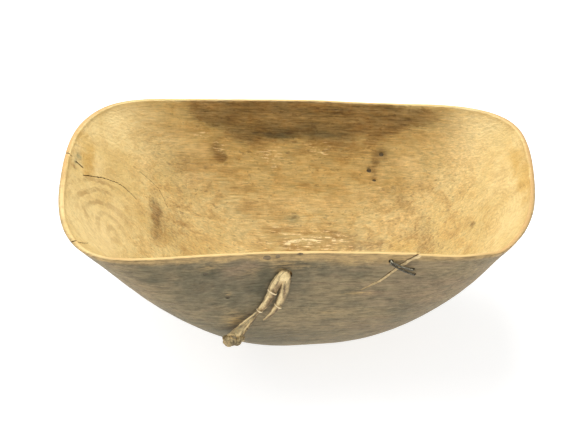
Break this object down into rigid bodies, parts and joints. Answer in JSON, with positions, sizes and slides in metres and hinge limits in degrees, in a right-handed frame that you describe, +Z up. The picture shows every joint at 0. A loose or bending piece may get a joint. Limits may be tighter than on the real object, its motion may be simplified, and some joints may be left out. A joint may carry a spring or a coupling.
{
  "type": "wooden bowl",
  "caption": "Long trough-shaped carved wooden bowl with a wire-stitched split in its front wall and a knotted hide thong hanging from a hole below the rim.",
  "frame": {"origin": "centre of the bowl's length and width, on the surface that its worn foot stands on", "axes": "+X along the bowl towards its narrower end, +Y from the front wall with the thong to the back wall, +Z up"},
  "size_m": [0.46, 0.2844, 0.1689],
  "materials": {
    "bowl_wood": "carved and hand-worn, grey-brown outside and honey-coloured inside",
    "stitch_wire": "darkened, lightly oxidised",
    "hide": "dried rawhide, semi-matt",
    "sinew": "dried sinew, slightly glossy"
  },
  "bodies": {
    "bowl": {"bowl_body": "bowl_wood", "wire_stitch": "stitch_wire"},
    "thong_neck": {"thong_stop_knot": "hide"},
    "thong": {"hide_thong": "hide", "sinew_tie_long_leg": "sinew", "sinew_tie_gather": "sinew", "sinew_tie_short_leg": "sinew", "thong_end_knot": "hide"}
  },
  "joints": [
    {"name": "thong_swing", "type": "hinge", "parent": "bowl", "child": "thong_neck", "pos_m": [-0.0083, -0.12755, 0.1414], "axis": [0, -1, 0], "range_deg": [0, 80]},
    {"name": "thong_lift", "type": "hinge", "parent": "thong_neck", "child": "thong", "pos_m": [-0.0086, -0.12975, 0.14088], "axis": [-0.866, 0, 0.5], "range_deg": [0, 95]}
  ]
}
